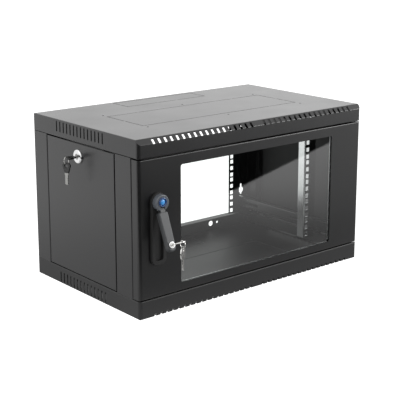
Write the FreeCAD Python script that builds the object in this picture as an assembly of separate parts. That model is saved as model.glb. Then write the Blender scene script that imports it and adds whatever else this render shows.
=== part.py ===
import FreeCAD, Part

import math
import os

from FreeCAD import Placement, Rotation, Vector

# Wall mount network cabinet, six rack units high, with a glazed front door.
# Millimetres. +X is to the right seen from the front, +Y runs back to the wall, +Z is up.
# The origin is the centre of the bottom face of the cabinet's body.

# ---- Body ----
width = 600.0
depth = 363.0
height = 347.3
cover_height = 36.0            # fascia and skirt of the top and bottom covers
sheet = 1.2                    # covers, posts, side panels and door
bend = 1.0                     # inner radius of a folded edge
corner_radius = 7.0            # upright front corners, in plan
edge_radius = 2.2              # outer radius of the covers' long folded edges
bevel_run = 9.0                # sloping band between the top cover's flat face and its fascia
bevel_drop = 9.3
lip = 20.0                     # inward return at the covers' seam
lip_return = 22.0              # upturned edge of the side lips
panel_gap = 2.0                # shadow gap round the door and the side panels

# ---- Rack ----
rack_pitch = 44.45             # height of one rack unit
rack_hole_spacing = 465.1      # between the two columns of square holes
rack_hole = 9.5
rack_hole_first = 6.35         # lowest hole within one unit
rack_hole_pitch = 15.875
rail_sheet = 1.5
rail_face = 34.2               # width of the face that carries the holes
rail_hole_edge = 8.8           # hole centre to the face's inner edge
rail_lip = 20.0
rail_web = 30.0
rear_rail_lip = 15.0
rear_rail_web = 17.0
rail_end_gap = 2.5             # rail's end to the cover's seam
front_rail_setback = 90.3      # from the front of the door to the front rails
rear_rail_setback = 18.6       # from the wall to the rear rails' faces

# ---- Posts ----
post_side = 52.1               # front post, along the cabinet's side
post_face = 26.0               # front post, across the front
rear_post_side = 49.7
rear_post_face = 45.0
post_lip = 15.0
weld_tab = 1.5

# ---- Depth bars that carry the rack rails ----
bar_height = 24.0
bar_flange = 8.0
bar_inset = 17.0               # from the cover seam to the bar
bar_slot_height = 7.0
bar_slot_length = 80.0
bar_slot_margin = 3.0          # rear slot to the bar's end tab

# ---- Covers ----
front_slot_count = 18          # in each of the two groups
front_slot_pitch = 14.4
front_slot_width = 5.8
front_slot_first = 17.5        # from the middle of the cabinet
front_slot_run = 7.5           # back from the fascia
front_slot_drop = 10.8         # down from the top cover's flat face
plain_slot_drop = 6.0          # the same on the bottom cover
side_slot_count = 14
side_slot_pitch = 12.4
side_slot_width = 3.6
side_slot_length = 22.0
side_slot_inset = 3.4          # from the flat face
cut_line = 1.8                 # width of the cut round a knock-out
tab_width = 3.0                # uncut bridge that holds a knock-out
fan_knockout_width = 414.0
fan_knockout_depth = 122.0
fan_knockout_middle = 169.0    # from the front
fan_screw_rows = 152.0
fan_screw_radius = 2.25
cable_knockout_width = 214.0
cable_knockout_depth = 53.0
cable_knockout_margin = 13.0   # from the rear
tab_reach = 130.0              # fan knock-out tabs, from the middle
cable_tab_reach = 26.0
flange_hole_reach = 181.4      # round holes in the rear skirts
flange_hole_radius = 6.5
flange_small_reach = 201.4
flange_small_radius = 3.0
flange_hole_height = 18.5
cover_screw_radius = 2.5
cover_screw_inset = 11.0

# ---- Wall fixing ----
keyhole_reach = 278.0
keyhole_height = 87.0          # of the lower pair; the upper pair mirrors it
keyhole_radius = 7.5
keyhole_slot = 5.5
keyhole_length = 32.0

# ---- Side panels ----
panel_flange = 12.0
hook_width = 20.0
hook_shoulder = 5.0
hook_drop = 9.0
hook_reach = 80.0              # from the middle of the panel
hook_slot_out = 2.3            # cover's slot beyond the hook, outwards
hook_slot_in = 6.0             # and inwards
seat_gap = 0.3
side_lock_setback = 196.6      # from the front
side_lock_drop = 27.1          # below the top cover's seam

# ---- Door ----
door_depth = 20.6
window_left = 100.0            # margins of the glazed opening
window_right = 88.0
window_top = 20.8
window_bottom = 16.7
window_radius = 4.5
seal_thickness = 1.5
seal_width = 5.5
glass_thickness = 4.0
glass_overlap = 6.0
clamp_sheet = 1.0
clamp_pad = 5.0
clamp_foot = 6.8
clamp_gap = 0.6                # glass edge to the clamp
stud_radius = 1.25
clamp_nut_flats = 5.0
clamp_nut_height = 2.0

# ---- Door hinge ----
hinge_inset = 6.5              # pin from the door's end
hinge_setback = 9.0            # pin from the door's face
hinge_pin_radius = 2.5
pin_clearance = 0.05
pin_entry = 3.5                # pin beyond the cover's lip
pin_collar_radius = 4.0
pin_collar = 2.0
pin_tail = 15.0                # pin below its bracket
pin_pull = 16.0                # bent finger grip on the tail
spring_wire = 0.8
spring_turns = 6
spring_length = 21.5           # between the bracket and the pin's collar
bracket_sheet = 1.5
bracket_arm = 18.0
bracket_rise = 14.0

# ---- Swing handle ----
handle_reach = 42.8            # handle axis from the cabinet's left side
handle_base_width = 34.0
handle_base_bottom = 103.0
handle_base_length = 141.0
handle_base_thickness = 6.5
head_drop = 17.5               # handle axis below the base's top
base_screw_inset = 5.5
pocket_margin = 9.0
pocket_depth = 5.0
pocket_width = 19.0
pocket_length = 92.0
head_radius = 15.5
head_thickness = 10.5
head_gap = 0.3
cap_radius = 9.0
cap_height = 2.5
cap_rise = 2.0                 # above the handle axis
spindle_radius = 6.0
collar_radius = 11.0
collar_length = 14.0
collar_nut_flats = 27.0
collar_nut_height = 4.0
lever_width = 21.0
lever_tip_width = 18.0
lever_thickness = 9.5
lever_length = 81.5
lever_rest_angle = 23.0
lever_gap = 1.0                # shut lever to the base
lever_tongue = 10.0
lever_pivot_drop = 12.5        # lever pin below the handle axis
lever_pin_radius = 1.5
lever_lock_drop = 69.5         # lock cylinder from the lever pin
lever_lock_radius = 6.5
lever_lock_proud = 2.0
plug_radius = 4.5
door_cam_thickness = 2.5
door_cam_width = 16.0
cam_clearance = 0.9            # cam tip to the post

# ---- Side lock ----
lock_face_radius = 14.0
lock_face_height = 4.5
lock_barrel_radius = 9.0
lock_barrel_beyond_lip = 0.6
lock_nut_flats = 23.0
lock_nut_height = 4.0
side_plug_radius = 6.0
side_cam_length = 34.0
side_cam_width = 16.0
side_cam_thickness = 2.5
cam_screw_flats = 8.0
cam_screw_height = 3.0

# ---- Keys ----
key_thickness = 2.0
key_blade_width = 7.0
key_neck = 4.0                 # plastic-headed keys of the side lock
metal_neck = 10.5              # keys of the handle, of one flat piece
metal_bow_radius = 12.5
key_hole_radius = 4.4
key_rim = 2.3                  # bow left outside the hole
key_head_thickness = 3.6
key_head_width = 24.0
key_head_length = 21.0
key_gap = 0.1
ring_radius = 7.3
ring_wire_radius = 0.6
ring_slack = 0.8               # ring to the key's rim
ring_turn = 20.0               # side key ring's heading, from straight out
spare_turn = 33.0              # the door's spare key turns this far on its ring
key_cuts = 3
key_cut_pitch = 4.5
key_cut_depth = 1.6

# ---- Fasteners ----
bolt_radius = 3.0
bolt_clearance = 0.3
bolt_head_flats = 10.0
bolt_head_height = 4.0
bolt_nut_height = 5.0
thread_beyond_nut = 2.0

# ---- Derived places ----
left = -width / 2
right = width / 2
front = -depth / 2
rear = depth / 2
seam_low = cover_height
seam_high = height - cover_height
middle_z = height / 2
door_back = front + door_depth
post_front = door_back + panel_gap
door_low = seam_low + panel_gap
door_high = seam_high - panel_gap
post_back = post_front + post_side
rear_post_front = rear - rear_post_side
panel_front = post_back + panel_gap
panel_rear = rear_post_front - panel_gap
rail_inner = rack_hole_spacing / 2 - rail_hole_edge
rail_outer = rail_inner + rail_face
front_rail_y = front + front_rail_setback
rear_rail_y = rear - rear_rail_setback
rail_low = seam_low + rail_end_gap
rail_high = seam_high - rail_end_gap
rack_units = int((rail_high - rail_low) / rack_pitch)
rack_low = middle_z - rack_units * rack_pitch / 2
handle_x = left + handle_reach
head_z = handle_base_bottom + handle_base_length - head_drop
hinge_x = right - hinge_inset
hinge_y = front + hinge_setback
side_lock_y = front + side_lock_setback
side_lock_height = seam_high - side_lock_drop
window = (left + window_left, right - window_right, door_low + window_bottom, door_high - window_top)


# ---- Shapes ----
def box(x0, x1, y0, y1, z0, z1):
    return Part.makeBox(x1 - x0, y1 - y0, z1 - z0, Vector(x0, y0, z0))


def rod(radius, start, end):
    run = end.sub(start)
    return Part.makeCylinder(radius, run.Length, start, run)


def spread(point, axis, level):
    """Put a flat point on the plane at level along one axis."""
    a, b = point
    if axis == "x":
        return Vector(level, a, b)
    if axis == "y":
        return Vector(a, level, b)
    return Vector(a, b, level)


def rounded_wire(points, axis, level):
    """Closed outline through (a, b, radius) points, each corner an arc of its own radius."""
    edges = []
    last = None
    first = None
    count = len(points)
    for i in range(count):
        before = spread(points[i - 1][:2], axis, level)
        here = spread(points[i][:2], axis, level)
        after = spread(points[(i + 1) % count][:2], axis, level)
        radius = points[i][2]
        start = end = here
        if radius > 0:
            back = before.sub(here).normalize()
            ahead = after.sub(here).normalize()
            half = back.getAngle(ahead) / 2
            run = radius / math.tan(half)
            start = here + back * run
            end = here + ahead * run
            towards = (back + ahead).normalize()
            crown = here + towards * (radius / math.sin(half) - radius)
        if last is not None and last.distanceToPoint(start) > 1e-6:
            edges.append(Part.LineSegment(last, start).toShape())
        if radius > 0:
            edges.append(Part.Arc(start, crown, end).toShape())
        if first is None:
            first = start
        last = end
    if last.distanceToPoint(first) > 1e-6:
        edges.append(Part.LineSegment(last, first).toShape())
    return Part.Wire(edges)


def prism(points, axis, level, length):
    """Solid of a rounded outline, extruded along one axis."""
    along = {"x": Vector(length, 0, 0), "y": Vector(0, length, 0), "z": Vector(0, 0, length)}[axis]
    return Part.Face(rounded_wire(points, axis, level)).extrude(along)


def offset_left(points, distance):
    """An open line moved to its own left, mitred at its corners."""
    moved = []
    for i, here in enumerate(points):
        normals = []
        for a, b in ((i - 1, i), (i, i + 1)):
            if a >= 0 and b < len(points):
                dx = points[b][0] - points[a][0]
                dy = points[b][1] - points[a][1]
                size = math.hypot(dx, dy)
                normals.append((-dy / size, dx / size))
        nx = sum(n[0] for n in normals) / len(normals)
        ny = sum(n[1] for n in normals) / len(normals)
        reach = distance / (nx * nx + ny * ny)
        moved.append((here[0] + nx * reach, here[1] + ny * reach))
    return moved


def folded(points, thickness, axis, level, length, inner=bend):
    """Folded sheet: a line of flat runs given its thickness on the left, with round bends."""
    other = offset_left(points, thickness)
    right_side = []
    left_side = []
    for i, (a, b) in enumerate(zip(points, other)):
        near = far = 0.0
        if 0 < i < len(points) - 1:
            ax, ay = a[0] - points[i - 1][0], a[1] - points[i - 1][1]
            bx, by = points[i + 1][0] - a[0], points[i + 1][1] - a[1]
            turns_left = ax * by - ay * bx > 0
            near = inner + thickness if turns_left else inner
            far = inner if turns_left else inner + thickness
        right_side.append((a[0], a[1], near))
        left_side.append((b[0], b[1], far))
    return prism(right_side + left_side[::-1], axis, level, length)


def rounded_rect(a0, a1, b0, b1, radius):
    return [(a0, b0, radius), (a1, b0, radius), (a1, b1, radius), (a0, b1, radius)]


def slot(a0, a1, b0, b1, axis, level, length):
    """Cutter with round ends, as wide as its shorter side."""
    radius = min(a1 - a0, b1 - b0) / 2 - 0.01
    return prism(rounded_rect(a0, a1, b0, b1, radius), axis, level, length)


def hexagon(flats, start, end):
    """Hexagonal prism between two points."""
    run = end.sub(start)
    corner = flats / math.sqrt(3)
    turn = Rotation(Vector(0, 0, 1), run)
    ring = []
    for k in range(7):
        angle = math.radians(60 * k)
        flat_point = Vector(corner * math.cos(angle), corner * math.sin(angle), 0)
        ring.append(start + turn.multVec(flat_point))
    return Part.Face(Part.makePolygon(ring)).extrude(run)


def bolt(head_flats, head_height, radius, seat, direction, reach):
    """Hexagon-head bolt: seat is under the head, direction is the way the shank points."""
    along = Vector(*direction)
    head = hexagon(head_flats, seat - along * head_height, seat)
    return head.fuse(rod(radius, seat, seat + along * reach)).removeSplitter()


def nut(flats, thickness, hole_radius, seat, direction):
    along = Vector(*direction)
    body = hexagon(flats, seat, seat + along * thickness)
    return body.cut(rod(hole_radius, seat - along, seat + along * (thickness + 1)))


def mirror_x(shape):
    return shape.mirror(Vector(0, 0, 0), Vector(1, 0, 0))


def mirror_z(shape):
    return shape.mirror(Vector(0, 0, middle_z), Vector(0, 0, 1))


def cut_all(shape, cutters):
    return shape.cut(Part.makeCompound(cutters))


def edges_at(shape, axis, level):
    """Edges that lie wholly on one plane."""
    found = []
    for edge in shape.Edges:
        limits = edge.BoundBox
        low = getattr(limits, axis.upper() + "Min")
        high = getattr(limits, axis.upper() + "Max")
        if abs(low - level) < 1e-4 and abs(high - level) < 1e-4:
            found.append(edge)
    return found


def save(name, *solids):
    shape = solids[0] if len(solids) == 1 else Part.makeCompound(list(solids))
    shape.exportStep("parts/" + name + ".step")


# ---- Covers ----
def cover_block(inset, floor, bevelled):
    """Space taken up by a top cover, drawn in from its outer faces; floor is its lowest level."""
    crown = [(front, height - bevel_drop), (front + bevel_run, height)] if bevelled else [(front, height)]
    line = [(front, seam_high)] + crown + [(rear, height), (rear, seam_high)]
    line = offset_left(line, -inset)
    radius = edge_radius - inset
    side_view = [(line[0][0], floor, radius)] + [(y, z, radius) for y, z in line[1:-1]]
    side_view.append((line[-1][0], floor, radius))
    plan = [(left + inset, front + inset, corner_radius - inset),
            (right - inset, front + inset, corner_radius - inset),
            (right - inset, rear - inset, radius), (left + inset, rear - inset, radius)]
    front_view = rounded_rect(left + inset, right - inset, floor, height - inset, radius)
    block = prism(side_view, "x", left, width)
    block = block.common(prism(plan, "z", floor, height - floor))
    return block.common(prism(front_view, "y", front, depth))


def knockout_cutters(x_reach, y0, y1, tabs):
    """Narrow cut round a rectangle, broken by tabs at the given places along X on both long sides."""
    half = cut_line / 2
    outer = box(-x_reach - half, x_reach + half, y0 - half, y1 + half, height - 2 * sheet, height + 1)
    inner = box(-x_reach + half, x_reach - half, y0 + half, y1 - half, height - 3 * sheet, height + 2)
    ring = outer.cut(inner)
    bridges = []
    for x in tabs:
        bridges.append(box(x - tab_width / 2, x + tab_width / 2, y0 - 2, y1 + 2, 0, height + 3))
    middle = (y0 + y1) / 2
    bridges.append(box(-width, width, middle - tab_width / 2, middle + tab_width / 2, 0, height + 3))
    return ring.cut(Part.makeCompound(bridges))


def front_slots(drop):
    """Vent slots that cut through a cover's folded front edge, in two groups."""
    cutters = []
    for side in (-1, 1):
        for k in range(front_slot_count):
            x = side * (front_slot_first + k * front_slot_pitch)
            half = front_slot_width / 2
            cutters.append(box(x - half, x + half, front - 1, front + front_slot_run,
                               height - drop, height + 1))
    return cutters


def side_slots():
    """Upright vent slots through both side skirts."""
    cutters = []
    span = (side_slot_count - 1) * side_slot_pitch
    middle = (panel_front + panel_rear) / 2
    high = height - side_slot_inset
    for k in range(side_slot_count):
        y = middle - span / 2 + k * side_slot_pitch
        half = side_slot_width / 2
        skirt = slot(y - half, y + half, high - side_slot_length, high, "x", left - 1, 2 * sheet)
        cutters += [skirt, mirror_x(skirt)]
    return cutters


def fan_screw_places():
    middle = front + fan_knockout_middle
    reach = fan_knockout_width / 2
    return [(x, middle + side * fan_screw_rows / 2) for x in (-reach, 0, reach) for side in (-1, 1)]


def cover_screw_places():
    """Corner screws that hold a cover to the four posts."""
    inset = left + cover_screw_inset
    return [(side * inset, y) for side in (-1, 1)
            for y in (post_front + post_side / 2, rear - rear_post_side / 2)]


def hook_places():
    middle = (panel_front + panel_rear) / 2
    return [middle - hook_reach, middle + hook_reach]


def cover(bevelled):
    """Top cover: one folded tray, open below, with a lip all round at its seam."""
    tray = cover_block(0, seam_high, bevelled).cut(cover_block(sheet, seam_high + sheet, bevelled))
    upturn = box(left + lip - sheet, left + lip, panel_front, panel_rear, seam_high, seam_high + lip_return)
    tray = tray.multiFuse([upturn, mirror_x(upturn)]).removeSplitter()
    cutters = [box(left + lip, right - lip, front + lip, rear - lip, seam_high - 1, seam_high + sheet + 1)]
    cutters += front_slots(front_slot_drop if bevelled else plain_slot_drop) + side_slots()
    fan_front = front + fan_knockout_middle - fan_knockout_depth / 2
    cutters.append(knockout_cutters(fan_knockout_width / 2, fan_front, fan_front + fan_knockout_depth,
                                    (-tab_reach, tab_reach)))
    cable_rear = rear - cable_knockout_margin
    cutters.append(knockout_cutters(cable_knockout_width / 2, cable_rear - cable_knockout_depth, cable_rear,
                                    (-cable_tab_reach, cable_tab_reach)))
    for x, y in fan_screw_places():
        cutters.append(rod(fan_screw_radius, Vector(x, y, height - 5), Vector(x, y, height + 1)))
    for x, y in cover_screw_places():
        cutters.append(rod(cover_screw_radius + bolt_clearance, Vector(x, y, seam_high - 1),
                           Vector(x, y, seam_high + 3)))
    flange_z = height - flange_hole_height
    for side in (-1, 1):
        for reach, radius in ((flange_hole_reach, flange_hole_radius),
                              (flange_small_reach, flange_small_radius)):
            cutters.append(rod(radius, Vector(side * reach, rear - 3, flange_z),
                               Vector(side * reach, rear + 1, flange_z)))
        hook_face = left + panel_flange
        for y in hook_places():
            hook = box(hook_face - sheet - hook_slot_out, hook_face + hook_slot_in, y - hook_width / 2 - 1,
                       y + hook_width / 2 + 1, seam_high - 1, seam_high + sheet + 1)
            cutters.append(hook if side < 0 else mirror_x(hook))
    cutters.append(rod(hinge_pin_radius + pin_clearance, Vector(hinge_x, hinge_y, seam_high - 1),
                       Vector(hinge_x, hinge_y, seam_high + 3)))
    return cut_all(tray, cutters)


# ---- Posts and depth bars ----
def end_plates(x0, x1, y0, y1):
    """Plates welded into a post's ends, with the holes for the cover screws."""
    plates = [box(x0, x1, y0, y1, seam_low, seam_low + weld_tab),
              box(x0, x1, y0, y1, seam_high - weld_tab, seam_high)]
    holes = [rod(cover_screw_radius, Vector(x, y, 0), Vector(x, y, height)) for x, y in cover_screw_places()]
    return [cut_all(plate, holes) for plate in plates]


def front_post():
    """Left front post: a channel whose front face is the door's stop."""
    line = [(left + post_lip, post_back), (left, post_back), (left, post_front),
            (left + post_face, post_front)]
    channel = folded(line, sheet, "z", seam_low, seam_high - seam_low)
    plates = end_plates(left + sheet, left + post_face - sheet, post_front + sheet, post_back - sheet)
    return channel.multiFuse(plates).removeSplitter()


def keyhole(x, z):
    """Wall fixing hole: a round middle with a slot above and below it."""
    half = keyhole_slot / 2
    upright = slot(x - half, x + half, z - keyhole_length / 2, z + keyhole_length / 2, "y", rear - 3, 5)
    return rod(keyhole_radius, Vector(x, rear - 3, z), Vector(x, rear + 2, z)).fuse(upright)


def rear_post():
    """Left rear post: a channel that wraps the corner and carries the wall fixings."""
    line = [(left + rear_post_face, rear), (left, rear), (left, rear_post_front),
            (left + post_lip, rear_post_front)]
    channel = folded(line, sheet, "z", seam_low, seam_high - seam_low)
    plates = end_plates(left + sheet, left + rear_post_face - sheet, rear_post_front + sheet, rear - sheet)
    post = channel.multiFuse(plates).removeSplitter()
    return cut_all(post, [keyhole(-keyhole_reach, z) for z in (keyhole_height, height - keyhole_height)])


def bar_low():
    return seam_low + bar_inset


def rail_bolt_places():
    """(y, z) of the bolts that hold the four rack rails to the depth bars."""
    z_low = bar_low() + bar_height / 2
    front_y = front_rail_y + rail_web / 2
    rear_y = rear_rail_y + rear_rail_web / 2
    return [(y, z) for y in (front_y, rear_y) for z in (z_low, height - z_low)]


def depth_bar():
    """Lower left depth bar: a shallow channel with long slots and a tab at each end."""
    z0 = bar_low()
    z1 = z0 + bar_height
    web = -rail_outer
    line = [(web - bar_flange, z0), (web, z0), (web, z1), (web - bar_flange, z1)]
    y0 = post_front + sheet
    y1 = rear - sheet
    bar = folded(line, rail_sheet, "y", y0, y1 - y0)
    tabs = [box(left + sheet + bend, web - rail_sheet, y0, y0 + rail_sheet, z0, z1),
            box(left + sheet + bend, web - rail_sheet, y1 - rail_sheet, y1, z0, z1)]
    half = bar_slot_height / 2
    middle = (z0 + z1) / 2
    cutters = []
    rear_start = y1 - rail_sheet - bar_slot_margin - bar_slot_length
    for start in (front_rail_y, rear_start):
        cutters.append(slot(start, start + bar_slot_length, middle - half, middle + half, "x", web - 3, 5))
    return cut_all(bar.multiFuse(tabs).removeSplitter(), cutters)


# ---- Rack rails ----
def rack_rail(y, web, inner_lip):
    """Left rack rail with its face at y: square holes in the face, a lip inside and a web outside."""
    line = [(-rail_outer, y + web), (-rail_outer, y), (-rail_inner, y), (-rail_inner, y + inner_lip)]
    rail = folded(line, rail_sheet, "z", rail_low, rail_high - rail_low)
    x = -rack_hole_spacing / 2
    half = rack_hole / 2
    cutters = []
    for unit in range(rack_units):
        for step in range(3):
            z = rack_low + unit * rack_pitch + rack_hole_first + step * rack_hole_pitch
            cutters.append(box(x - half, x + half, y - 3, y + 3, z - half, z + half))
    for bolt_y, z in rail_bolt_places():
        cutters.append(rod(bolt_radius + bolt_clearance, Vector(-rail_outer - 2, bolt_y, z),
                           Vector(-rail_outer + 4, bolt_y, z)))
    return cut_all(rail, cutters)


def rail_bolts():
    """Bolts through the left rails' webs into the depth bars, heads inside the rails."""
    reach = 2 * rail_sheet + bolt_nut_height + thread_beyond_nut
    return [bolt(bolt_head_flats, bolt_head_height, bolt_radius, Vector(-rail_outer + rail_sheet, y, z),
                 (-1, 0, 0), reach) for y, z in rail_bolt_places()]


def rail_nuts():
    return [nut(bolt_head_flats, bolt_nut_height, bolt_radius, Vector(-rail_outer - rail_sheet, y, z),
                (-1, 0, 0)) for y, z in rail_bolt_places()]


def cover_screws():
    """Pan-head screws up through the top cover's lip and down through the bottom one's."""
    screws = []
    for x, y in cover_screw_places():
        seat = Vector(x, y, seam_high + sheet)
        head = rod(cover_screw_radius * 1.9, seat, seat + Vector(0, 0, cover_screw_radius))
        head = head.makeChamfer(cover_screw_radius * 0.5, edges_at(head, "z", head.BoundBox.ZMax))
        shank = rod(cover_screw_radius, seat, seat - Vector(0, 0, sheet + weld_tab))
        screw = head.fuse(shank).removeSplitter()
        screws += [screw, mirror_z(screw)]
    return screws


# ---- Side panels ----
def side_panel():
    """Left side panel: a shallow tray with a lock hole above and two hooks below."""
    z0 = door_low
    z1 = door_high
    outer = box(left, left + panel_flange, panel_front, panel_rear, z0, z1)
    outer = outer.makeFillet(edge_radius / 2, edges_at(outer, "x", left))
    inner = box(left + sheet, left + panel_flange + 1, panel_front + sheet, panel_rear - sheet,
                z0 + sheet, z1 - sheet)
    tray = outer.cut(inner)
    x1 = left + panel_flange
    hooks = []
    for y in hook_places():
        half = hook_width / 2
        shoulder = half + hook_shoulder
        hooks.append(box(x1 - sheet, x1, y - shoulder, y + shoulder, seam_low + seat_gap, z0 + sheet))
        hooks.append(box(x1 - sheet, x1, y - half, y + half, seam_low - hook_drop, z0 + sheet))
    panel = tray.multiFuse(hooks).removeSplitter()
    centre = Vector(left - 1, side_lock_y, side_lock_height)
    return panel.cut(rod(lock_barrel_radius, centre, centre + Vector(sheet + 2, 0, 0)))


def side_lock():
    """Left side lock, as body, nut, plug, cam and cam screw; the cam lies level, unlocked."""
    face = Vector(left, side_lock_y, side_lock_height)
    into = Vector(1, 0, 0)
    barrel_end = lip + lock_barrel_beyond_lip
    disc = rod(lock_face_radius, face, face - into * lock_face_height)
    disc = disc.makeFillet(lock_face_height * 0.6, edges_at(disc, "x", left - lock_face_height))
    body = disc.fuse(rod(lock_barrel_radius, face, face + into * barrel_end)).removeSplitter()
    body = body.cut(rod(side_plug_radius + pin_clearance, face - into * 2 * lock_face_height,
                        face + into * 2 * barrel_end))
    lock_nut = nut(lock_nut_flats, lock_nut_height, lock_barrel_radius, face + into * sheet, (1, 0, 0))
    plug = rod(side_plug_radius, face - into * lock_face_height, face + into * barrel_end)
    plug = plug.cut(key_slot(face - into * lock_face_height, Vector(-1, 0, 0), Vector(0, 1, 0), barrel_end))
    x0 = left + barrel_end
    half = side_cam_width / 2
    plate = prism([(side_lock_y - half, side_lock_height - half, half - 0.1),
                   (side_lock_y + side_cam_length, side_lock_height - half, 2),
                   (side_lock_y + side_cam_length, side_lock_height + half, 2),
                   (side_lock_y - half, side_lock_height + half, half - 0.1)], "x", x0, side_cam_thickness)
    x1 = x0 + side_cam_thickness
    screw = hexagon(cam_screw_flats, Vector(x1, side_lock_y, side_lock_height),
                    Vector(x1 + cam_screw_height, side_lock_y, side_lock_height))
    return body, lock_nut, plug, plate, screw


# ---- Keys ----
def turned(u, v):
    """Rotation that lays local X along u and local Y along v."""
    return Rotation(u, v, u.cross(v), "XYZ")


def placed(shape, origin, u, v):
    copy = shape.copy()
    copy.Placement = Placement(origin, turned(u, v))
    return copy


def key_slot(mouth, u, v, depth_in):
    """Cutter for the blade in a plug: mouth is on the plug's face, u points out of the lock."""
    half_w = key_blade_width / 2 + key_gap
    half_t = key_thickness / 2 + key_gap
    cutter = box(-depth_in, 1, -half_w, half_w, -half_t, half_t)
    return placed(cutter, mouth, u, v)


def blade(inserted, end):
    """Key blade along local X, from inside the lock to end, with its shoulder at the lock's face."""
    half = key_blade_width / 2
    tip = 2.0
    outline = [(-inserted, 0, 0), (-inserted + tip, -half, 0), (key_gap, -half, 0), (key_gap, -half - 1, 0.4),
               (end, -half - 1, 0), (end, half + 1, 0), (key_gap, half + 1, 0.4), (key_gap, half, 0),
               (-inserted + tip, half, 0)]
    plate = prism(outline, "z", -key_thickness / 2, key_thickness)
    for k in range(key_cuts):
        x = -inserted + key_cut_pitch * (k + 1)
        reach = key_cut_depth + 1
        notch = [(x - reach, half + 1, 0), (x, half - key_cut_depth, 0), (x + reach, half + 1, 0)]
        plate = plate.cut(prism(notch, "z", -key_thickness, 2 * key_thickness))
    return plate


def key_end():
    """Distance from the lock's face to the far end of a metal key."""
    return metal_neck + 2 * metal_bow_radius - 1.0


def metal_key(inserted):
    """Key of one flat piece: blade, shoulder and a round bow with the ring's hole at its end."""
    centre = key_end() - metal_bow_radius
    bow = rod(metal_bow_radius, Vector(centre, 0, -key_thickness / 2), Vector(centre, 0, key_thickness / 2))
    hole_x = key_end() - key_rim - key_hole_radius
    hole = rod(key_hole_radius, Vector(hole_x, 0, -3), Vector(hole_x, 0, 3))
    body = blade(inserted, centre).fuse(bow).removeSplitter().cut(hole)
    return body


def head_end():
    return key_neck + key_head_length


def plastic_head():
    """Moulded key head, a rounded triangle that is widest at its far end."""
    half = key_head_width / 2
    outline = [(key_neck, -5.0, 2.0), (head_end(), -half, 6.0), (head_end(), half, 6.0), (key_neck, 5.0, 2.0)]
    head = prism(outline, "z", -key_head_thickness / 2, key_head_thickness)
    rims = edges_at(head, "z", key_head_thickness / 2) + edges_at(head, "z", -key_head_thickness / 2)
    head = head.makeFillet(0.9, rims)
    hole_x = head_end() - key_rim - key_hole_radius
    hole = rod(key_hole_radius, Vector(hole_x, 0, -4), Vector(hole_x, 0, 4))
    return head.cut(hole)


def headed_key(inserted):
    """Metal blade and the plastic head moulded on it, as two solids."""
    root = key_neck + 8.0
    stem = blade(inserted, root)
    return stem, plastic_head().cut(stem)


def hanging_ring(rim_middle, heading, rise):
    """Ring hung over a key's rim: its plane holds the level heading; rise is the rim's half height."""
    inner = ring_radius - ring_wire_radius
    centre = rim_middle + Vector(0, 0, rise + ring_slack - inner)
    return centre, Part.makeTorus(ring_radius, ring_wire_radius, centre, heading.cross(Vector(0, 0, 1)))


def spare_origin(ring_centre, reach):
    """Local origin of a spare key that hangs with its far end up; reach is its length from that origin."""
    wire_top = ring_centre.z - ring_radius + ring_wire_radius
    return Vector(ring_centre.x, ring_centre.y, wire_top + seat_gap + key_rim - reach)


# ---- Door ----
def door_block(inset, back):
    plan = [(left + inset, front + inset, corner_radius - inset),
            (right - inset, front + inset, corner_radius - inset),
            (right - inset, back, 0), (left + inset, back, 0)]
    radius = edge_radius - inset
    side_view = [(front + inset, door_low + inset, radius), (back, door_low + inset, 0),
                 (back, door_high - inset, 0), (front + inset, door_high - inset, radius)]
    block = prism(plan, "z", door_low, door_high - door_low)
    return block.common(prism(side_view, "x", left, width))


def glass_box():
    x0, x1, z0, z1 = window
    return x0 - glass_overlap, x1 + glass_overlap, z0 - glass_overlap, z1 + glass_overlap


def stud_places():
    """(x, z) of the studs on the door's inside face that hold the glass clamps."""
    x0, x1, z0, z1 = glass_box()
    out = clamp_gap + clamp_sheet + clamp_foot / 2
    across = [x0 + (x1 - x0) * share for share in (0.1, 0.5, 0.9)]
    up = [z0 + (z1 - z0) * share for share in (0.2, 0.8)]
    places = [(x, z) for x in across for z in (z0 - out, z1 + out)]
    return places + [(x, z) for x in (x0 - out, x1 + out) for z in up]


def door_frame():
    """Door tray with the window opening, the handle's and hinge's holes and the clamp studs."""
    tray = door_block(0, door_back).cut(door_block(sheet, door_back + 1))
    x0, x1, z0, z1 = window
    cutters = [prism(rounded_rect(x0, x1, z0, z1, window_radius), "y", front - 1, sheet + 2),
               rod(collar_radius, Vector(handle_x, front - 1, head_z), Vector(handle_x, front + 3, head_z)),
               rod(cover_screw_radius, Vector(handle_x, front - 1, handle_screw_z()),
                   Vector(handle_x, front + 3, handle_screw_z())),
               rod(hinge_pin_radius + pin_clearance, Vector(hinge_x, hinge_y, 0),
                   Vector(hinge_x, hinge_y, height))]
    studs = []
    for x, z in stud_places():
        studs.append(rod(stud_radius, Vector(x, front + sheet, z),
                         Vector(x, front + sheet + clamp_sheet + clamp_nut_height + 1, z)))
    return cut_all(tray, cutters).multiFuse(studs).removeSplitter()


def glass_seal():
    """Foam strip between the door's face and the glass, all round the window."""
    gx0, gx1, gz0, gz1 = glass_box()
    y0 = front + sheet
    ring = prism(rounded_rect(gx0, gx1, gz0, gz1, 2), "y", y0, seal_thickness)
    sight = rounded_rect(gx0 + seal_width, gx1 - seal_width, gz0 + seal_width, gz1 - seal_width,
                         window_radius)
    return ring.cut(prism(sight, "y", y0 - 1, seal_thickness + 2))


def door_glass():
    x0, x1, z0, z1 = glass_box()
    pane = prism(rounded_rect(x0, x1, z0, z1, 2), "y", front + sheet + seal_thickness, glass_thickness)
    return pane


def clamp_line(edge, outward):
    """Section of a glass clamp: foot on the door's face, riser beside the glass, pad on its back."""
    foot_y = front + sheet
    pad_y = foot_y + seal_thickness + glass_thickness
    riser = edge + outward * clamp_gap
    foot = riser + outward * (clamp_sheet + clamp_foot)
    return [(foot, foot_y), (riser, foot_y), (riser, pad_y), (edge - outward * clamp_pad, pad_y)]


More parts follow.
